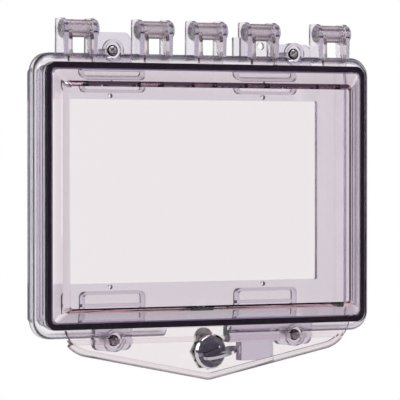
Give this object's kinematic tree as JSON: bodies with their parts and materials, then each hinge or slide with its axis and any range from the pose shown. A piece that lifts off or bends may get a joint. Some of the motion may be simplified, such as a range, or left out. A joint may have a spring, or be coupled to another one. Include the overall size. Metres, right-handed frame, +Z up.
{
  "type": "hinged polycarbonate enclosure",
  "caption": "Clear open-backed wall enclosure for a small device, with a gasketed hinged door, a cam lock in an apron and fixing lugs round the rim.",
  "frame": {"origin": "centre of the fixing screws, on the wall plane that the rim stands on", "axes": "+Y into the wall, +Z up towards the hinges, +X to the right seen from the front"},
  "size_m": [0.2582, 0.0602, 0.24],
  "materials": {
    "polycarbonate": "clear, glossy",
    "rubber": "matt black",
    "steel": "plated",
    "chrome": "polished",
    "zinc": "yellow passivated",
    "brass": "bare"
  },
  "bodies": {
    "frame": {"back_frame": "polycarbonate", "door_gasket": "rubber", "hinge_pin_1": "polycarbonate", "hinge_pin_2": "polycarbonate", "hinge_pin_3": "polycarbonate", "hinge_pin_4": "polycarbonate", "hinge_pin_5": "polycarbonate", "mounting_screws": "steel", "screw_washers": "rubber"},
    "door": {"door_cover": "polycarbonate", "lock_housing": "chrome", "lock_seal": "rubber", "lock_star_washer": "zinc", "lock_nut": "zinc"},
    "lock_core": {"lock_plug": "chrome", "lock_wafers": "brass", "lock_cam": "zinc", "cam_washer": "zinc", "cam_screw": "zinc", "key": "chrome"}
  },
  "joints": [
    {"name": "door_hinge", "type": "hinge", "parent": "frame", "child": "door", "pos_m": [0, -0.0073, 0.1095], "axis": [-1, 0, 0], "range_deg": [0, 165]},
    {"name": "lock_turn", "type": "hinge", "parent": "door", "child": "lock_core", "pos_m": [0, -0.01, -0.1047], "axis": [0, 1, 0], "range_deg": [0, 90]}
  ]
}
